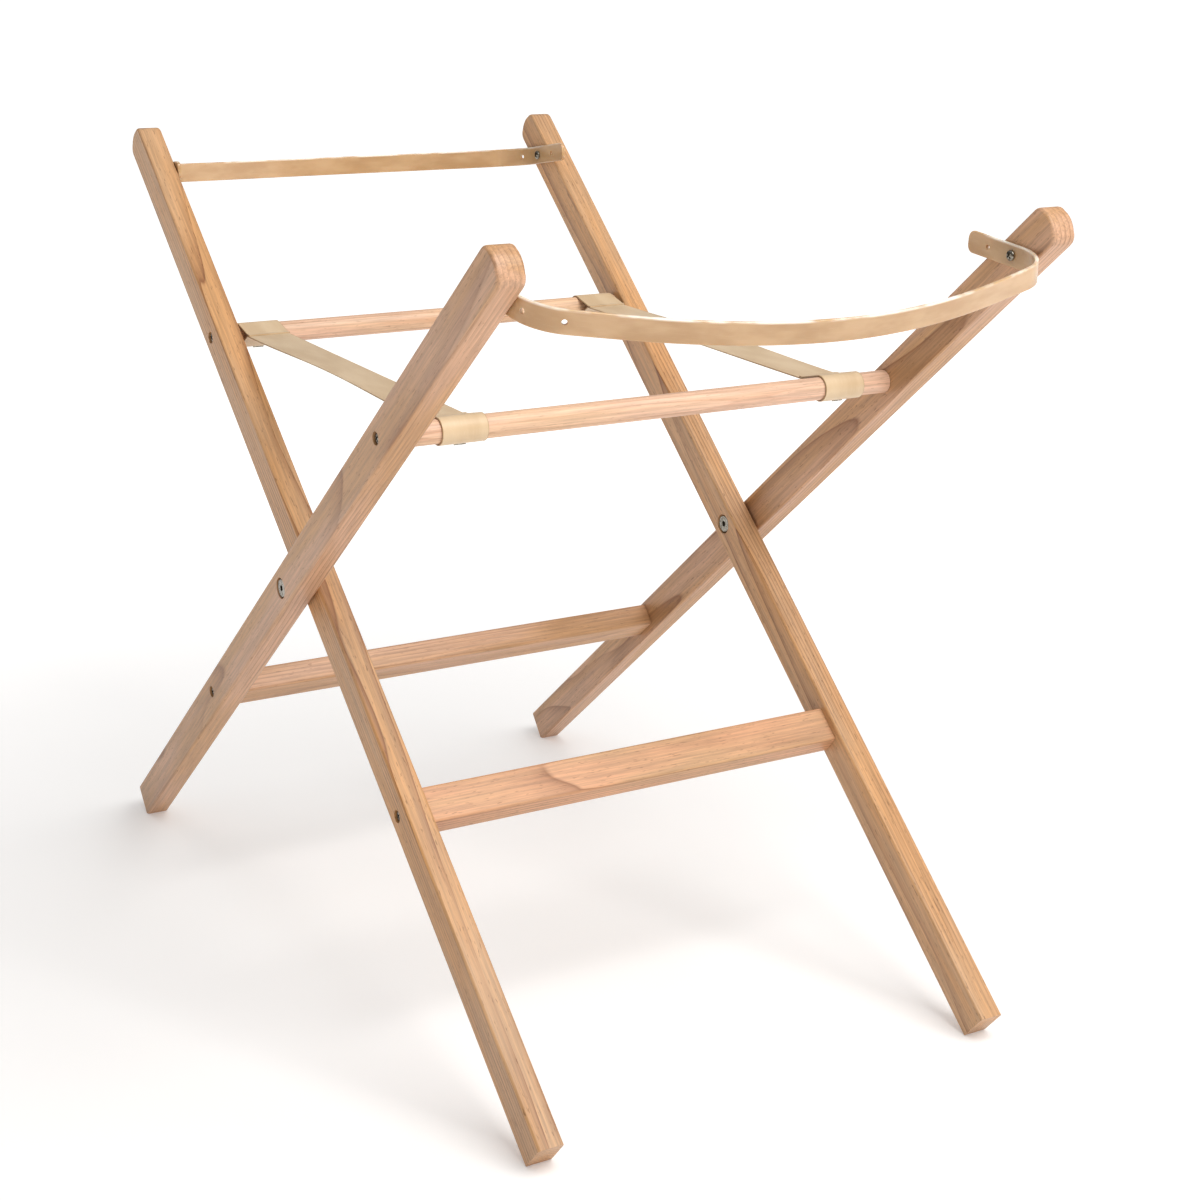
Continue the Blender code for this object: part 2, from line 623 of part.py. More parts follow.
def staple_slots(part, place):
    """Cuts the two slots that a staple's legs stand in."""
    slot = box("staple_slot", (STAPLE_WIRE + 2 * GAP, STAPLE_LEG + 2 * THROUGH, STAPLE_WIRE + 2 * GAP))
    for sign in SIDES.values():
        middle = (sign * (STAPLE_WIDTH - STAPLE_WIRE) / 2, STAPLE_WIRE + STAPLE_LEG / 2, 0)
        cut(part, slot, place @ Matrix.Translation(middle))


def side_strap(side, rear_dowel, front_dowel):
    """One webbing strap and the staples that pin its loops to the undersides of the dowels."""
    sign = SIDES[side]
    rear = INNER.place(INNER.dowel, -CROSS_PIECE_SETBACK)
    front = OUTER.place(OUTER.dowel, -CROSS_PIECE_SETBACK)
    along = (front - rear).normalized()
    up = along.cross(ACROSS)
    half_span = (front - rear).length / 2
    middle = (front + rear) / 2 + ACROSS * sign * SIDE_STRAP_OFFSET
    world = placement(middle, along, up, along.cross(up))
    name = f"side_strap_{side}"
    mesh = extruded(name, side_strap_outlines(half_span), SIDE_STRAP_WIDTH)
    strap = add_part(name, mesh, STRAP_WEBBING, None, world)
    crown = DOWEL_RADIUS + SIDE_STRAP_THICK + 2 * GAP + STAPLE_WIRE
    ends = (("rear", rear, rear_dowel, INNER), ("front", front, front_dowel, OUTER))
    for label, centre, rail, frame in ends:
        under = centre + ACROSS * sign * SIDE_STRAP_OFFSET - up * crown
        place = placement(under, ACROSS, up, ACROSS.cross(up))
        staple_name = f"{label}_staple_{side}"
        local = frame.matrix.inverted() @ place
        add_part(staple_name, staple(staple_name), ZINC_STEEL, rail.parent, local)
        staple_slots(strap, world.inverted() @ place)
        staple_slots(rail, rail.matrix_local.inverted() @ local)


# ---- the whole stand ----------------------------------------------------------------------------
def axis_empty(frame):
    """An empty on the pivot axis that carries all of one frame's pieces."""
    empty = bpy.data.objects.new(f"{frame.name}_axis", None)
    PARTS.objects.link(empty)
    empty.matrix_world = frame.matrix
    return empty


def frame_pieces(frame, empty, upper, lower):
    """Legs, dowel, stretcher and screws of one frame; upper and lower are front or rear."""
    rail = dowel(f"{upper}_dowel", frame, empty)
    stretcher(f"{lower}_stretcher", frame, empty)
    for side in SIDES:
        leg(frame, side, empty)
        frame_screw(f"{upper}_dowel_screw_{side}", frame, frame.dowel, side, empty)
        frame_screw(f"{lower}_stretcher_screw_{side}", frame, frame.stretcher, side, empty)
        strap_screw(f"{upper}_strap_screw_{side}", frame, side, empty)
    return rail


def main():
    inner_empty = axis_empty(INNER)
    outer_empty = axis_empty(OUTER)
    rear_dowel = frame_pieces(INNER, inner_empty, upper="rear", lower="front")
    front_dowel = frame_pieces(OUTER, outer_empty, upper="front", lower="rear")
    rear_bow = Bow(INNER, REAR_STRAP_DIP, REAR_STRAP_SAG, REAR_SAG_POWERS, REAR_HOLES)
    front_bow = Bow(OUTER, FRONT_STRAP_DIP, FRONT_STRAP_SAG, FRONT_SAG_POWERS, FRONT_HOLES)
    end_strap("rear_end_strap", INNER, rear_bow, inner_empty)
    end_strap("front_end_strap", OUTER, front_bow, outer_empty)
    for side in SIDES:
        pivot_hardware(side, inner_empty)
        side_strap(side, rear_dowel, front_dowel)


main()
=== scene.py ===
"""Looks of the folding X-frame stand: wood, straps, fasteners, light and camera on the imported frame."""
import math

import bmesh
import bpy
from mathutils import Matrix, Vector


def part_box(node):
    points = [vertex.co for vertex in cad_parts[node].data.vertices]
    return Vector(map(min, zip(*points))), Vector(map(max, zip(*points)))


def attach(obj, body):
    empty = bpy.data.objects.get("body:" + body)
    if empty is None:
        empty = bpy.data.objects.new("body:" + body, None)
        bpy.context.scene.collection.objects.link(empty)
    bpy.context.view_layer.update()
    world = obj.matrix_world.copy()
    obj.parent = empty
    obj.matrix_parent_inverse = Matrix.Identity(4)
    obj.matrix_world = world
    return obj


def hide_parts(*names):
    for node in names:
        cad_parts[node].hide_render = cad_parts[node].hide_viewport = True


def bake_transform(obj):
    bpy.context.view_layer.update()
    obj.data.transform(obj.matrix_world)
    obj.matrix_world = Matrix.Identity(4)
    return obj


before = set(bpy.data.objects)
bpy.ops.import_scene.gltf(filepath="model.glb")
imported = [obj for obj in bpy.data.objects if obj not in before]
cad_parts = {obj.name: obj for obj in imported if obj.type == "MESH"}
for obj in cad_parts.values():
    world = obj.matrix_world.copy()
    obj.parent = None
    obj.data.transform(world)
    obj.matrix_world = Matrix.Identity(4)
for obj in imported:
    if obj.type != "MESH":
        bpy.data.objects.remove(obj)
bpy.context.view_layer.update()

ACROSS = Vector((1, 0, 0))
SIDES = {"left": -1, "right": 1}

# ---- dimensions that the straps share with the CAD model, in metres ------------------------------
GAP = 0.0003
END_WIDTH = 0.0175
END_THICK = 0.003
END_TAILS = {"left": 0.023, "right": 0.052}
END_LEAD = 0.010  # straight length between a screw and the start of its bend
END_BEND_RADIUS = 0.042
END_BEND = math.radians(67)
FRONT_DIP = math.radians(5.5)
REAR_DIP = math.radians(9)
END_FLARE = math.radians(6)  # how far the front strap's lower edge leans out in its bends
END_BULGE = 0.0015  # and how far those bends swell
END_BEND_DEPTH = END_BEND_RADIUS * 1.3  # how far past the lead the flare and swelling reach
FRONT_SAG = math.radians(11.7)
REAR_SAG = math.radians(-1.6)
FRONT_SAG_POWERS = {"left": 0.65, "right": 1.4}
REAR_SAG_POWERS = {"left": 1, "right": 1}
END_CORNER = 0.0055
END_ROUNDING = 0.0009
END_HOLE_PITCH = 0.0284
END_HOLE_RADIUS = 0.0021
END_SCREW_HOLE_RADIUS = 0.0024
FRONT_HOLES = {"left": (0, 1, 2), "right": (-1, 0)}
REAR_HOLES = {"left": (0, 1), "right": (-1, 0, 1)}

SIDE_WIDTH = 0.039
SIDE_THICK = 0.0012
SIDE_ROUNDING = 0.0005
SIDE_OFFSET = 0.175
SIDE_TWIST = math.radians(3.5)  # turn at the middle of a side strap's free length
SIDE_CROWN = 0.0014  # rise there
SIDE_WAIST = 0.035  # share of the width that it loses there
SIDE_FREE = 0.036  # distance from a dowel's axis to where the free length starts
LOOP_POINT = 0.024  # distance from a dowel's axis to where the strap's two layers meet
LOOP_TAIL = 0.0285  # and to the strap's cut end
LOOP_TILT = math.radians(9.5)
LOOP_STEPS = 30
SPAN_STEPS = 20
# (along, up) from the meeting point: the cut end's layer, and the layer under it
LOOP_UPPER = ((0.0008, 0.0004), (-0.0006, 0.00008), (-0.0015, 0.0), (-0.0026, 0.0), (-0.0037, 0.0))
LOOP_LOWER = ((-0.0015, 0.00002), (0.0004, -0.0003))
LAYER_GAP = 0.00012
WARP_PITCH = 0.0011
WEFT_PITCH = 0.0014
DARK_EDGE_OUT, DARK_EDGE_IN = 0.0003, 0.0009  # the strap darkens towards its edges over these distances from the edge
DOWEL_RADIUS = 0.0095

FLOOR_SIZE = 40.0
FLOOR_DEPTH = 0.0004  # just under the feet
FLOOR_GLOW_NEAR = 0.25  # light of its own that the floor adds under the stand
FLOOR_GLOW_FAR = 0.76  # and far behind it, where the lamps don't reach
FLOOR_GLOW_START, FLOOR_GLOW_END = 0.35, 1.9

WORLD_LOW, WORLD_HIGH = 0.10, 0.50  # world brightness at the horizon and high up

RING_WANDER = 0.018  # how far a growth ring strays along a board
RING_PROFILE = ((0.06, 0.0), (0.50, 0.10), (0.80, 0.40), (0.91, 0.66), (0.955, 1.0), (0.98, 0.25))

WELD_DISTANCE = 1e-5
CAD_EDGE = math.radians(38)  # CAD edges sharper than this are shaded as edges

LEANS = {"inner": math.radians(49.5), "outer": -math.radians(50.434)}


def middle(node):
    low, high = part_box(node)
    return (low + high) / 2


# ---- shader helpers ------------------------------------------------------------------------------
def feed(tree, socket, value):
    if isinstance(value, bpy.types.NodeSocket):
        tree.links.new(value, socket)
    else:
        socket.default_value = value


def add(tree, kind, settings=None, **inputs):
    """A node with its settings and inputs; an input is a number, a colour or another node's output."""
    new = tree.nodes.new("ShaderNode" + kind)
    for name, value in (settings or {}).items():
        setattr(new, name, value)
    for name, value in inputs.items():
        feed(tree, new.inputs[name.replace("_", " ")], value)
    return new


def calc(tree, operation, *values):
    new = tree.nodes.new("ShaderNodeMath")
    new.operation = operation
    for socket, value in zip(new.inputs, values):
        feed(tree, socket, value)
    return new.outputs[0]


def noise(tree, vector, scale, detail=3.0, roughness=0.5, distortion=0.0):
    new = add(tree, "TexNoise", Vector=vector, Scale=scale, Detail=detail, Roughness=roughness)
    new.inputs["Distortion"].default_value = distortion
    return new.outputs["Fac"]


def stretched(tree, vector, scale):
    new = tree.nodes.new("ShaderNodeMapping")
    feed(tree, new.inputs["Vector"], vector)
    new.inputs["Scale"].default_value = scale
    return new.outputs[0]


def remap(tree, value, start, end, low=0.0, high=1.0):
    """Low at the start of the range of values, easing to high at its end."""
    new = tree.nodes.new("ShaderNodeMapRange")
    new.interpolation_type = "SMOOTHSTEP"
    for socket, number in zip(new.inputs, (value, start, end, low, high)):
        feed(tree, socket, number)
    return new.outputs[0]


def mix(tree, share, a, b, blend="MIX"):
    """Colour a, turned into b by the share."""
    new = tree.nodes.new("ShaderNodeMix")
    new.data_type = "RGBA"
    new.blend_type = blend
    feed(tree, new.inputs[0], share)
    feed(tree, new.inputs[6], a)
    feed(tree, new.inputs[7], b)
    return new.outputs[2]


def bump(tree, height, distance, strength):
    return add(tree, "Bump", Height=height, Distance=distance, Strength=strength).outputs[0]


def new_material(name, **constants):
    """A material with these constants on its shader, as (material, node tree, shader)."""
    material = bpy.data.materials.new(name)
    material.use_nodes = True
    tree = material.node_tree
    shader = tree.nodes["Principled BSDF"]
    for key, value in constants.items():
        shader.inputs[key.replace("_", " ")].default_value = value
    return material, tree, shader


def srgb(red, green, blue):
    """Linear colour from display values 0 to 255."""
    def linear(value):
        share = value / 255
        return share / 12.92 if share <= 0.04045 else ((share + 0.055) / 1.055) ** 2.4
    return (linear(red), linear(green), linear(blue), 1.0)


# ---- wood ----------------------------------------------------------------------------------------
def board_coordinates(tree, origin, along, across, offset):
    """Coordinates fixed in a board: x along the grain, y across its wide face, z through it."""
    third = along.cross(across)
    turn = Matrix((along, across, third))
    mapping = tree.nodes.new("ShaderNodeMapping")
    mapping.inputs["Rotation"].default_value = turn.to_euler("XYZ")
    mapping.inputs["Location"].default_value = Vector(offset) - turn @ origin
    tree.links.new(add(tree, "TexCoord").outputs["Object"], mapping.inputs["Vector"])
    return mapping.outputs[0]


def growth_rings(tree, board, pith, run_out, pitch):
    """0 in early wood to 1 at the dark end of each ring, which stops sharply."""
    wander = add(tree, "TexNoise", Vector=stretched(tree, board, (2.6, 9, 9)), Scale=1.0, Detail=2.0)
    centred = add(tree, "VectorMath", {"operation": "SUBTRACT"})
    feed(tree, centred.inputs[0], wander.outputs["Color"])
    centred.inputs[1].default_value = (0.5, 0.5, 0.5)
    scaled = add(tree, "VectorMath", {"operation": "MULTIPLY_ADD"})
    feed(tree, scaled.inputs[0], centred.outputs[0])
    scaled.inputs[1].default_value = (0.0, RING_WANDER, RING_WANDER)
    feed(tree, scaled.inputs[2], board)
    parts = add(tree, "SeparateXYZ", Vector=scaled.outputs[0]).outputs
    across = calc(tree, "SUBTRACT", parts[1], pith[0])
    lean = calc(tree, "MULTIPLY", parts[0], run_out)
    through = calc(tree, "ADD", calc(tree, "SUBTRACT", parts[2], pith[1]), lean)
    square_a = calc(tree, "MULTIPLY", across, across)
    square_t = calc(tree, "MULTIPLY", through, through)
    radius = calc(tree, "SQRT", calc(tree, "ADD", square_a, square_t))
    phase = calc(tree, "FRACT", calc(tree, "DIVIDE", radius, pitch))
    ramp = add(tree, "ValToRGB", Fac=phase)
    points = ramp.color_ramp.elements
    points[0].color = (0, 0, 0, 1)
    points[1].color = (0, 0, 0, 1)
    for place, level in RING_PROFILE:
        points.new(place).color = (level, level, level, 1)
    return ramp.outputs[0]


def wood(name, board_of, colours, pith, run_out, pitch, figure, seed):
    """Oiled softwood cut from one board, with rings, fibres, small dark flecks and a satin surface.

    The pith is the rings' centre across and through the board, and run_out how fast it leaves along it.
    """
    material, tree, shader = new_material(
        name, Specular_IOR_Level=0.45, Coat_Weight=0.20, Coat_Roughness=0.30)
    light, tint, dark = colours
    origin, along, across = board_of
    board = board_coordinates(tree, origin, along, across, (seed, 0, 0))
    drift = noise(tree, stretched(tree, board, (5, 38, 38)), 1.0, 2.0)
    patch = noise(tree, stretched(tree, board, (7, 30, 30)), 1.0, 2.0, distortion=0.6)
    fibre = noise(tree, stretched(tree, board, (14, 480, 480)), 1.0, 4.0, 0.65)
    hair = noise(tree, stretched(tree, board, (45, 1700, 1700)), 1.0, 3.0, 0.6)
    fleck = noise(tree, stretched(tree, board, (130, 950, 950)), 1.0, 1.0, 0.5)
    rings = growth_rings(tree, board, pith, run_out, pitch)
    ground = mix(tree, remap(tree, drift, 0.36, 0.64), light, tint)
    depth = calc(tree, "MULTIPLY", rings, remap(tree, patch, 0.36, 0.60, 0.38 * figure, figure))
    colour = mix(tree, depth, ground, dark)
    streak = calc(tree, "MULTIPLY_ADD", remap(tree, fibre, 0.30, 0.70), 0.34, 0.82)
    thread = calc(tree, "MULTIPLY_ADD", remap(tree, hair, 0.25, 0.75), 0.16, 0.92)
    value = calc(tree, "MULTIPLY", streak, thread)
    shade = add(tree, "CombineColor", Red=value, Green=value, Blue=value).outputs[0]
    colour = mix(tree, 1.0, colour, shade, "MULTIPLY")
    marks = calc(tree, "MULTIPLY", remap(tree, fleck, 0.65, 0.74), 0.50 * figure)
    colour = mix(tree, marks, colour, tuple(0.42 * part for part in dark[:3]) + (1.0,))
    feed(tree, shader.inputs["Base Color"], colour)
    gloss = calc(tree, "MULTIPLY_ADD", fibre, 0.16, 0.40)
    feed(tree, shader.inputs["Roughness"], calc(tree, "ADD", gloss, calc(tree, "MULTIPLY", marks, 0.3)))
    height = calc(tree, "SUBTRACT", calc(tree, "MULTIPLY_ADD", hair, 0.5, fibre), marks)
    feed(tree, shader.inputs["Normal"], bump(tree, height, 0.00022, 0.55))
    return material


def leg_board(which):
    lean = LEANS[which.split("_")[0]]
    along = Vector((0, math.sin(lean), math.cos(lean)))
    return middle(which), along, along.cross(ACROSS)


def rail_board(which, lean=0.0):
    return middle(which), ACROSS, Vector((0, math.sin(lean), math.cos(lean)))


def wooden_pieces():
    tan, rose, brown = srgb(192, 146, 101), srgb(203, 159, 126), srgb(134, 82, 42)
    orange, sand, umber = srgb(203, 151, 98), srgb(200, 157, 115), srgb(134, 80, 38)
    pale, blush, russet = srgb(222, 183, 148), srgb(222, 182, 154), srgb(166, 106, 68)
    peach = srgb(214, 160, 120)
    amber_wood, rosy_wood = (orange, sand, umber), (rose, tan, brown)
    peach_wood = (peach, sand, umber)
    inner, outer = LEANS["inner"], LEANS["outer"]
    # node, material, board, colours, pith, run-out, ring pitch, strength of figure, seed
    woods = (
        ("inner_leg_left", "leg_wood_a", leg_board("inner_leg_left"), amber_wood,
         (0.024, 0.034), 0.008, 0.0040, 0.95, 3.1),
        ("inner_leg_right", "leg_wood_b", leg_board("inner_leg_right"), amber_wood,
         (-0.022, 0.034), -0.010, 0.0036, 1.00, 7.7),
        ("outer_leg_left", "leg_wood_c", leg_board("outer_leg_left"), rosy_wood,
         (0.012, -0.042), 0.011, 0.0041, 0.75, 11.3),
        ("outer_leg_right", "leg_wood_d", leg_board("outer_leg_right"), rosy_wood,
         (-0.009, -0.046), -0.013, 0.0040, 0.90, 15.9),
        ("front_stretcher", "rail_wood_a", rail_board("front_stretcher", inner), peach_wood,
         (0.008, 0.036), 0.020, 0.0038, 0.80, 21.0),
        ("rear_stretcher", "rail_wood_b", rail_board("rear_stretcher", outer), rosy_wood,
         (0.022, 0.030), 0.010, 0.0038, 0.60, 25.4),
        ("front_dowel", "dowel_wood_a", rail_board("front_dowel"), (pale, blush, russet),
         (0.010, 0.020), 0.010, 0.0030, 0.50, 31.2),
        ("rear_dowel", "dowel_wood_b", rail_board("rear_dowel"), (blush, pale, russet),
         (-0.014, 0.018), 0.010, 0.0032, 0.60, 36.8),
    )
    for node, *recipe in woods:
        dress(node, wood(*recipe))


def dress(node, material):
    """Puts a material on a CAD node and gives it clean shading."""
    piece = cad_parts[node]
    for slot in piece.material_slots:
        slot.material = material
    piece.data.shade_smooth()
    weld = piece.modifiers.new("weld", "WELD")
    weld.merge_threshold = WELD_DISTANCE
    split = piece.modifiers.new("edges", "EDGE_SPLIT")
    split.split_angle = CAD_EDGE
    even_normals(piece)


def even_normals(piece):
    piece.modifiers.new("normals", "WEIGHTED_NORMAL").keep_sharp = True


# ---- steel ---------------------------------------------------------------------------------------
def zinc_steel():
    material, tree, shader = new_material("zinc_steel", Metallic=1.0)
    place = add(tree, "TexCoord").outputs["Object"]
    cloud = noise(tree, place, 520.0, 3.0)
    grain = noise(tree, place, 2600.0, 2.0)
    colour = mix(tree, remap(tree, cloud, 0.35, 0.65), srgb(158, 153, 143), srgb(106, 99, 86))
    feed(tree, shader.inputs["Base Color"], colour)
    feed(tree, shader.inputs["Roughness"], calc(tree, "MULTIPLY_ADD", cloud, 0.22, 0.12))
    feed(tree, shader.inputs["Normal"], bump(tree, grain, 0.00005, 0.6))
    return material


# ---- bands ---------------------------------------------------------------------------------------
def rounded_section(half_width, half_thick, corner, steps=3):
    """(across, normal) round a band's section, one quarter circle at each corner."""
    quarter = [math.pi / 2 * i / steps for i in range(steps + 1)]
    back = quarter[::-1]
    section = []
    for sign_a, sign_n, angles in ((1, 1, quarter), (-1, 1, back), (-1, -1, quarter), (1, -1, back)):
        for angle in angles:
            a = sign_a * (half_width - corner + corner * math.cos(angle))
            n = sign_n * (half_thick - corner + corner * math.sin(angle))
            section.append((a, n))
    return section


def band(name, stations, width, thickness, rounding):
    """A flat band with rounded edges. Each station is a point, its across and normal, and a width share."""
    bm = bmesh.new()
    layer = bm.loops.layers.uv.new("UVMap")

    def add_face(corners):
        face = bm.faces.new([vert for vert, _, _ in corners])
        for loop, (_, u, v) in zip(face.loops, corners):
            loop[layer].uv = (u, v)

    rings, travelled = [], 0.0
    for index, (point, across, normal, share) in enumerate(stations):
        if index:
            travelled += (point - stations[index - 1][0]).length
        section = rounded_section(width * share / 2, thickness / 2, rounding)
        rings.append([(bm.verts.new(point + across * a + normal * n), travelled, a) for a, n in section])
    count = len(rings[0])
    for before, after in zip(rings, rings[1:]):
        for i in range(count):
            add_face((before[i], before[(i + 1) % count], after[(i + 1) % count], after[i]))
    for ring in (rings[0], rings[-1]):
        add_face(ring)
    bmesh.ops.recalc_face_normals(bm, faces=bm.faces)
    mesh = bpy.data.meshes.new(name)
    bm.to_mesh(mesh)
    bm.free()
    mesh.shade_smooth()
    piece = bpy.data.objects.new(name, mesh)
    bpy.context.scene.collection.objects.link(piece)
    return piece


def placement(origin, x, y, z):
    return Matrix.Translation(origin) @ Matrix((x, y, z)).transposed().to_4x4()


def bow_half(half_span, tail):
    """(x, y, normal angle) from a free end, past the screw at y = 0, to the middle of the bow."""
    centre = half_span - END_BEND_RADIUS
    start_x = centre + END_BEND_RADIUS * math.cos(END_BEND)
    start_y = END_LEAD + END_BEND_RADIUS * math.sin(END_BEND)
    radius = start_x / math.cos(END_BEND)
    bow_centre = start_y - radius * math.sin(END_BEND)
    ends = [END_CORNER * (1 - math.cos(math.pi / 16 * step)) for step in range(9)]
    path = [(half_span, distance - tail, 0.0) for distance in ends]
    path += [(half_span, (END_CORNER - tail) * (1 - step / 4), 0.0) for step in (1, 2, 3, 4)]
    for i in range(25):
        turn = END_BEND * i / 24
        y = END_LEAD + END_BEND_RADIUS * math.sin(turn)
        path.append((centre + END_BEND_RADIUS * math.cos(turn), y, turn))
    for i in range(1, 31):
        turn = END_BEND + (math.pi / 2 - END_BEND) * i / 30
        path.append((radius * math.cos(turn), bow_centre + radius * math.sin(turn), turn))
    return path


def tail_share(y, tail):
    """The share of the full width that the rounded corners leave near a free end."""
    inset = max(0.0, END_CORNER - (y + tail))
    cut = END_CORNER - math.sqrt(max(END_CORNER**2 - inset**2, 0.0))
    return 1 - 2 * cut / END_WIDTH


def strap_place(path, distance):
    """The place and normal angle at a distance from the screw, along the path."""
    run = [station for station in path if station[1] >= 0]
    if distance <= 0:
        return run[0][0], distance, 0.0
    for (x0, y0, turn0), (x1, y1, turn1) in zip(run, run[1:]):
        step = math.hypot(x1 - x0, y1 - y0)
        if distance <= step:
            part = distance / step
            return x0 + (x1 - x0) * part, y0 + (y1 - y0) * part, turn0 + (turn1 - turn0) * part
        distance -= step
    return run[-1]


class Bow:
    """How an end strap hangs: back is 1 behind the stand and -1 before it."""

    def __init__(self, screw, back, dip, sag, powers, flare, holes):
        self.screw = screw
        self.back = back
        self.dip = dip
        self.sag = sag
        self.powers = powers
        self.flare = flare
        self.holes = holes

    def frame_of(self, node):
        """The strap's own frame, with y along its free ends and z up, and half its span."""
        left, right = middle(f"{self.screw}_left"), middle(f"{self.screw}_right")
        low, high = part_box(node)
        out = Vector((0, self.back * math.cos(self.dip), -math.sin(self.dip)))
        across = ACROSS * self.back
        world = placement((left + right) / 2, across, out, across.cross(out))
        return world, (high.x - low.x) / 2 - END_THICK / 2

    def turn(self, x, y, reach):
        """The turn about local X that lets the bow sag, growing with the distance y past the screws."""
        power = self.powers["right" if x * self.back > 0 else "left"]
        return Matrix.Rotation(-self.sag * (max(y, 0.0) / reach) ** power, 4, "X")


def bow_stations(bow, world, half_span):
    """The stations of an end strap's band, whose lower edge may flare out in its bends."""
    first, last = (END_TAILS[side] for side in ("right", "left")[::bow.back])
    start, finish = bow_half(half_span, first), bow_half(half_span, last)
    path = [(x, y, turn, first) for x, y, turn in start]
    path += [(-x, y, math.pi - turn, last) for x, y, turn in finish[-2::-1]]
    reach = start[-1][1]
    stations = []
    for x, y, turn, tail in path:
        swell = math.sin(math.pi * min(max(y - END_LEAD, 0.0) / END_BEND_DEPTH, 1.0)) ** 2
        outward = Vector((math.cos(turn), math.sin(turn), 0))
        forward = Vector((-math.sin(turn), math.cos(turn), 0))
        lean = Matrix.Rotation(-bow.flare * swell, 3, forward)
        place = world @ bow.turn(x, y, reach)
        turned = place.to_3x3() @ lean
        point = place @ (Vector((x, y, 0)) + outward * (END_BULGE * swell if bow.flare else 0.0))
        stations.append((point, turned @ Vector((0, 0, 1)), turned @ outward, tail_share(y, tail)))
    return stations


def bow_punch(bow, world, half_span):
    """The rods that punch an end strap's holes, as one mesh."""
    start = bow_half(half_span, END_TAILS["right"])
    reach = start[-1][1]
    punch = bmesh.new()
    for side, number in [(side, number) for side in bow.holes for number in bow.holes[side]]:
        x, y, turn = strap_place(start, number * END_HOLE_PITCH)
        radius = END_SCREW_HOLE_RADIUS if number == 0 else END_HOLE_RADIUS
        sign = SIDES[side] * bow.back
        towards = Vector((sign * math.cos(turn), math.sin(turn), 0)).to_track_quat("Z", "Y")
        local = Matrix.Translation((sign * x, y, 0)) @ towards.to_matrix().to_4x4()
        bmesh.ops.create_cone(punch, cap_ends=True, segments=28, radius1=radius, radius2=radius,
                              depth=3 * END_THICK, matrix=world @ bow.turn(sign * x, y, reach) @ local)
    return punch


def end_strap(node, bow, material):
    """A perforated plastic strap bowed between two leg tops."""
    world, half_span = bow.frame_of(node)
    stations = bow_stations(bow, world, half_span)
    strap = band(f"{node}_band", stations, END_WIDTH, END_THICK, END_ROUNDING)
    strap.data.materials.append(material)
    punch_holes(strap, bow_punch(bow, world, half_span))
    strap.data.set_sharp_from_angle(angle=math.radians(40))
    even_normals(strap)
    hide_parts(node)
    return strap


def punch_holes(piece, punch):
    """Cuts the punch out of the piece, and frees it."""
    mesh = bpy.data.meshes.new("punch")
    bmesh.ops.recalc_face_normals(punch, faces=punch.faces)
    punch.to_mesh(mesh)
    punch.free()
    tool = bpy.data.objects.new("punch", mesh)
    bpy.context.scene.collection.objects.link(tool)
    boolean = piece.modifiers.new("holes", "BOOLEAN")
    boolean.solver = "EXACT"
    boolean.object = tool
    evaluated = piece.evaluated_get(bpy.context.evaluated_depsgraph_get())
    piece.data = bpy.data.meshes.new_from_object(evaluated)
    piece.modifiers.clear()
    bpy.data.objects.remove(tool, do_unlink=True)


def side_path(half_span):
    """(along, up) of a webbing strap's middle line, from its middle to the cut end round one dowel."""
    ring = DOWEL_RADIUS + GAP + SIDE_THICK / 2
    slope = math.asin((DOWEL_RADIUS + GAP) / LOOP_POINT)
    meet_x = half_span - LOOP_POINT * math.cos(LOOP_TILT)
    meet_y = LOOP_POINT * math.sin(LOOP_TILT)
    sweep = math.pi / 2 + slope
    turns = [-LOOP_TILT - sweep + 2 * sweep * i / LOOP_STEPS for i in range(LOOP_STEPS + 1)]
    loop = [(half_span + ring * math.cos(turn), ring * math.sin(turn)) for turn in turns]
    upper = meet_y + SIDE_THICK / 2 + LAYER_GAP
    lower = meet_y - SIDE_THICK / 2
    tail = [(meet_x + along, upper + up) for along, up in LOOP_UPPER]
    tail.append((half_span - LOOP_TAIL, upper))
    run = [(meet_x + along, lower + up) for along, up in LOOP_LOWER]
    span = [(run[0][0] * (1 - i / SPAN_STEPS), lower) for i in range(SPAN_STEPS, 0, -1)]
    return span + run + loop + tail


def side_strap(side, material):
    """One webbing strap, looped about both dowels, with a light twist and crown in its free length."""
    sign = SIDES[side]
    rear, front = middle("rear_dowel"), middle("front_dowel")
    rear.x = front.x = 0.0
    along = (front - rear).normalized()
    up = along.cross(ACROSS)
    half_span = (front - rear).length / 2
    centre = (front + rear) / 2 + ACROSS * sign * SIDE_OFFSET
    half = side_path(half_span)
    path = [(-x, y) for x, y in reversed(half)] + half[1:]
    free = half_span - SIDE_FREE
    stations = []
    for index, (x, y) in enumerate(path):
        before, after = path[max(index - 1, 0)], path[min(index + 1, len(path) - 1)]
        tangent = (along * (after[0] - before[0]) + up * (after[1] - before[1])).normalized()
        swell = math.cos(math.pi / 2 * x / free) ** 2 if abs(x) < free else 0.0
        across = Matrix.Rotation(SIDE_TWIST * sign * swell, 3, tangent) @ ACROSS
        point = centre + along * x + up * (y + SIDE_CROWN * swell)
        stations.append((point, across, across.cross(tangent), 1.0 - SIDE_WAIST * swell))
    strap = band(f"side_strap_{side}_band", stations, SIDE_WIDTH, SIDE_THICK, SIDE_ROUNDING)
    strap.data.materials.append(material)
    strap.data.set_sharp_from_angle(angle=math.radians(50))
    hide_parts(f"side_strap_{side}")
    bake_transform(strap)
    even_normals(strap)


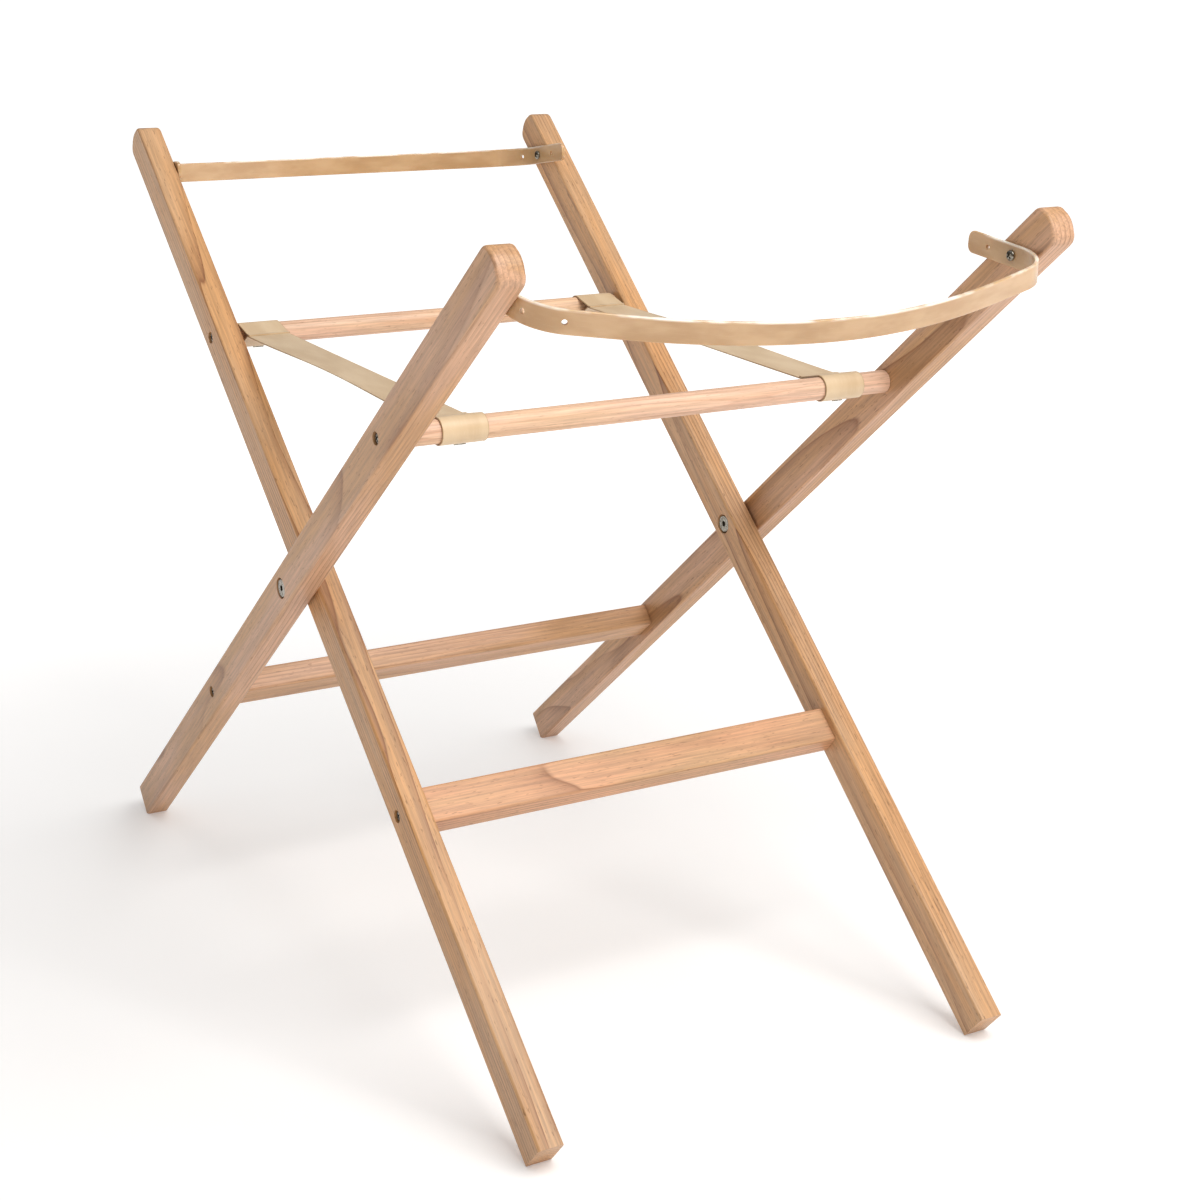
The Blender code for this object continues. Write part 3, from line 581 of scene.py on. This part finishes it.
# ---- strap materials -----------------------------------------------------------------------------
def strap_plastic(name, screw):
    """Cloudy plastic, scuffed along its length, with a painted highlight along its top edge, and darker
    about its screws.
    """
    material, tree, shader = new_material(
        name, Subsurface_Weight=0.30, Subsurface_Scale=0.006, Specular_IOR_Level=0.55,
        Coat_Weight=0.35, Coat_Roughness=0.16)
    shader.inputs["Subsurface Radius"].default_value = (1.0, 0.66, 0.40)
    solid = add(tree, "TexCoord").outputs["Object"]
    place = add(tree, "UVMap", {"uv_map": "UVMap"}).outputs[0]
    cloud = noise(tree, stretched(tree, place, (22, 60, 1)), 1.0, 3.0)
    scuff = noise(tree, stretched(tree, place, (60, 2600, 1)), 1.0, 4.0, 0.6)
    speck = noise(tree, stretched(tree, place, (900, 1100, 1)), 1.0, 2.0)
    colour = mix(tree, remap(tree, cloud, 0.35, 0.65), srgb(199, 163, 120), srgb(184, 145, 100))
    colour = mix(tree, remap(tree, speck, 0.66, 0.78, 0.0, 0.25), colour, srgb(150, 112, 76))
    colour = mix(tree, remap(tree, scuff, 0.55, 0.80, 0.0, 0.22), colour, srgb(232, 214, 192))
    # painted highlight: cloudy patches along the top edge are lightened towards a near-white cream
    across = add(tree, "SeparateXYZ", Vector=place).outputs[1]
    edge = remap(tree, across, 0.38 * END_WIDTH, 0.49 * END_WIDTH)
    painted_highlight = calc(tree, "MULTIPLY", edge, remap(tree, cloud, 0.40, 0.56))
    colour = mix(tree, painted_highlight, colour, srgb(246, 236, 222))
    # darker about each screw: strongest within 5 mm, gone by about 24 mm, with a ragged rim
    for side in SIDES:
        away = add(tree, "VectorMath", {"operation": "DISTANCE"})
        feed(tree, away.inputs[0], solid)
        away.inputs[1].default_value = middle(f"{screw}_{side}")
        stray = calc(tree, "SUBTRACT", speck, 0.5)
        ragged = calc(tree, "MULTIPLY_ADD", stray, 0.008, away.outputs["Value"])
        colour = mix(tree, remap(tree, ragged, 0.005, 0.024, 0.34, 0.0), colour, srgb(142, 104, 62))
    feed(tree, shader.inputs["Base Color"], colour)
    feed(tree, shader.inputs["Roughness"], calc(tree, "MULTIPLY_ADD", scuff, 0.26, 0.20))
    height = calc(tree, "MULTIPLY_ADD", scuff, 0.4, cloud)
    feed(tree, shader.inputs["Normal"], bump(tree, height, 0.00012, 0.5))
    return material


def strap_webbing():
    """Close woven cream tape: fine ribs, a soft sheen and a darker band along each edge."""
    material, tree, shader = new_material(
        "strap_webbing", Sheen_Weight=0.25, Sheen_Roughness=0.4, Specular_IOR_Level=0.45,
        Coat_Weight=0.12, Coat_Roughness=0.30)
    place = add(tree, "UVMap", {"uv_map": "UVMap"}).outputs[0]
    parts = add(tree, "SeparateXYZ", Vector=place).outputs
    warp = calc(tree, "SINE", calc(tree, "MULTIPLY", parts[1], 2 * math.pi / WARP_PITCH))
    weft = calc(tree, "SINE", calc(tree, "MULTIPLY", parts[0], 2 * math.pi / WEFT_PITCH))
    weave = calc(tree, "MULTIPLY_ADD", calc(tree, "MULTIPLY", warp, weft), 0.5, 0.5)
    soil = noise(tree, stretched(tree, place, (16, 45, 1)), 1.0, 3.0)
    yarn = noise(tree, stretched(tree, place, (90, 1900, 1)), 1.0, 3.0, 0.6)
    colour = mix(tree, remap(tree, soil, 0.35, 0.65), srgb(220, 194, 158), srgb(207, 178, 140))
    colour = mix(tree, calc(tree, "MULTIPLY", weave, 0.16), colour, srgb(176, 144, 104))
    colour = mix(tree, remap(tree, yarn, 0.50, 0.80, 0.0, 0.25), colour, srgb(234, 214, 184))
    # darker towards both edges of the strap
    off_centre = calc(tree, "ABSOLUTE", parts[1])
    half = SIDE_WIDTH / 2
    edge = remap(tree, off_centre, half - DARK_EDGE_IN, half - DARK_EDGE_OUT, 0.0, 0.75)
    colour = mix(tree, edge, colour, srgb(150, 112, 68))
    feed(tree, shader.inputs["Base Color"], colour)
    feed(tree, shader.inputs["Roughness"], calc(tree, "MULTIPLY_ADD", yarn, 0.20, 0.34))
    height = calc(tree, "MULTIPLY_ADD", yarn, 0.5, weave)
    feed(tree, shader.inputs["Normal"], bump(tree, height, 0.00010, 0.5))
    return material


# ---- stage, light and camera ---------------------------------------------------------------------
def stage():
    mesh = bpy.data.meshes.new("floor")
    outline = [(FLOOR_SIZE * x, FLOOR_SIZE * y) for x, y in ((-1, -1), (1, -1), (1, 1), (-1, 1))]
    mesh.from_pydata([(x, y, -FLOOR_DEPTH) for x, y in outline], [], [(0, 1, 2, 3)])
    floor = bpy.data.objects.new("floor", mesh)
    bpy.context.scene.collection.objects.link(floor)
    material, tree, shader = new_material("floor", Roughness=0.85, Specular_IOR_Level=0.15)
    place = add(tree, "TexCoord").outputs["Object"]
    cloud = noise(tree, place, 1.3, 2.0)
    pale = mix(tree, cloud, (0.80, 0.79, 0.785, 1), (0.82, 0.815, 0.81, 1))
    feed(tree, shader.inputs["Base Color"], pale)
    shader.inputs["Emission Color"].default_value = (1.0, 0.99, 0.985, 1.0)
    distance = add(tree, "VectorMath", {"operation": "LENGTH"})
    feed(tree, distance.inputs[0], place)
    glow = remap(tree, distance.outputs["Value"], FLOOR_GLOW_START, FLOOR_GLOW_END,
                 FLOOR_GLOW_NEAR, FLOOR_GLOW_FAR)
    feed(tree, shader.inputs["Emission Strength"], glow)
    floor.data.materials.append(material)


def softbox(name, place, target, size, power, colour=(1.0, 1.0, 1.0)):
    light = bpy.data.lights.new(name, "AREA")
    light.shape = "RECTANGLE"
    light.size, light.size_y = size
    light.energy = power
    light.color = colour
    lamp = bpy.data.objects.new(name, light)
    lamp.location = place
    lamp.rotation_euler = (Vector(place) - Vector(target)).to_track_quat("Z", "Y").to_euler()
    bpy.context.scene.collection.objects.link(lamp)


def lighting():
    """A dim world that looks white behind the stand, and two soft lamps."""
    world = bpy.data.worlds.new("studio")
    bpy.context.scene.world = world
    world.use_nodes = True
    tree = world.node_tree
    backdrop = tree.nodes["Background"]
    direction = add(tree, "TexCoord").outputs["Generated"]
    height = add(tree, "SeparateXYZ", Vector=direction).outputs[2]
    tone = remap(tree, height, 0.0, 0.75, WORLD_LOW, WORLD_HIGH)
    tone = calc(tree, "MAXIMUM", tone, add(tree, "LightPath").outputs["Is Camera Ray"])
    grey = add(tree, "CombineColor", Red=tone, Green=tone, Blue=tone).outputs[0]
    backdrop.inputs["Strength"].default_value = 1.0
    feed(tree, backdrop.inputs["Color"], grey)
    softbox("key", (0.45, -1.4, 2.5), (0, 0, 0.3), (2.0, 1.7), 59.0, (1.0, 0.985, 0.965))
    softbox("fill", (1.9, -1.2, 1.1), (0, 0, 0.45), (1.3, 1.3), 8.0)


def camera():
    """The photograph's view, with the place, direction and lens that the fit to its edges gave."""
    position = Vector((-0.88588811, -1.64005329, 0.87951949))
    azimuth, elevation, roll = -0.53106, 0.32354, 0.01152
    flat_back = Vector((math.sin(azimuth), -math.cos(azimuth), 0))
    back = flat_back * math.cos(elevation) + Vector((0, 0, math.sin(elevation)))
    right = Vector((math.cos(azimuth), math.sin(azimuth), 0))
    up = back.cross(right)
    turned_right = right * math.cos(roll) + up * math.sin(roll)
    turned_up = up * math.cos(roll) - right * math.sin(roll)
    data = bpy.data.cameras.new("camera")
    data.sensor_width = 36.0
    data.lens = 64.96
    data.shift_x = -0.0088
    data.shift_y = 0.0458
    view = bpy.data.objects.new("camera", data)
    bpy.context.scene.collection.objects.link(view)
    view.matrix_world = placement(position, turned_right, turned_up, back)
    bpy.context.scene.camera = view


def main():
    bpy.context.scene.view_settings.view_transform = "Standard"
    camera()
    wooden_pieces()
    steel = zinc_steel()
    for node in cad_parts:
        if any(word in node for word in ("screw", "bolt", "nut", "washer", "staple")):
            dress(node, steel)
    front_bow = Bow("front_strap_screw", -1, FRONT_DIP, FRONT_SAG, FRONT_SAG_POWERS, END_FLARE, FRONT_HOLES)
    rear_bow = Bow("rear_strap_screw", 1, REAR_DIP, REAR_SAG, REAR_SAG_POWERS, 0.0, REAR_HOLES)
    front_plastic = strap_plastic("strap_plastic_front", front_bow.screw)
    front = end_strap("front_end_strap", front_bow, front_plastic)
    rear_plastic = strap_plastic("strap_plastic_rear", rear_bow.screw)
    rear = end_strap("rear_end_strap", rear_bow, rear_plastic)
    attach(front, "outer_frame")
    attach(rear, "inner_frame")
    webbing = strap_webbing()
    for side in SIDES:
        side_strap(side, webbing)
    stage()
    lighting()


def corners(box):
    """A box's low and high corner as plain lists."""
    return [list(map(float, corner)) for corner in box]


main()
